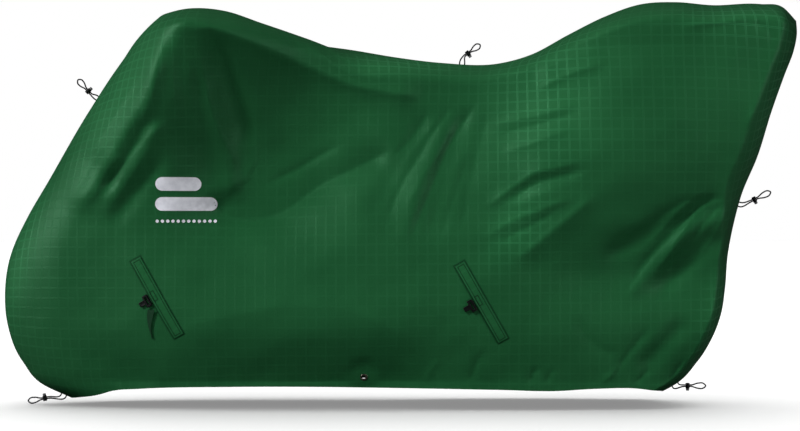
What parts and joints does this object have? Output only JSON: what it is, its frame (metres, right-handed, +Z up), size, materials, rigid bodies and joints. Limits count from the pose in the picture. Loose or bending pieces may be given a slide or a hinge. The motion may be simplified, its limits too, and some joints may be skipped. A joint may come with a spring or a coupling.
{
  "type": "bicycle cover",
  "caption": "Fitted cloth cover for a bicycle: two side panels sewn along front, top and rear, open below, with drawcord loops, an eyelet in the hem and two strap flaps.",
  "frame": {"origin": "under the top seam at mid length, in the middle plane, where the bicycle holds the cover up; 0.910 m above the ground", "axes": "+X towards the rear of the bicycle, +Z up, -Y towards the side with the strap flaps"},
  "size_m": [2.0986, 0.5341, 1.0647],
  "materials": {
    "cloth": "coated ripstop weave, semi-gloss",
    "webbing": "narrow woven tape, matte",
    "elastic": "braided elastic cord, matte",
    "lock_plastic": "moulded, fine grain",
    "button_plastic": "moulded, fine grain",
    "buckle_plastic": "moulded, fine grain",
    "eyelet_metal": "dull, rolled"
  },
  "bodies": {
    "root": {"side_panel_near": "cloth", "side_panel_far": "cloth", "hem_band_near": "cloth", "hem_band_far": "cloth", "eyelet_near": "eyelet_metal", "eyelet_far": "eyelet_metal", "strap_flap_front": "cloth", "strap_flap_rear": "cloth", "strap_front": "webbing", "strap_rear": "webbing", "strap_tail": "webbing", "buckle_front": "buckle_plastic", "buckle_rear": "buckle_plastic", "cord_loop_front": "elastic", "cord_lock_front": "lock_plastic", "lock_button_front": "button_plastic", "cord_loop_top": "elastic", "cord_lock_top": "lock_plastic", "lock_button_top": "button_plastic", "cord_loop_rear": "elastic", "cord_lock_rear": "lock_plastic", "lock_button_rear": "button_plastic", "cord_loop_front_hem": "elastic", "cord_lock_front_hem": "lock_plastic", "lock_button_front_hem": "button_plastic", "cord_loop_rear_hem": "elastic", "cord_lock_rear_hem": "lock_plastic", "lock_button_rear_hem": "button_plastic"}
  },
  "joints": []
}
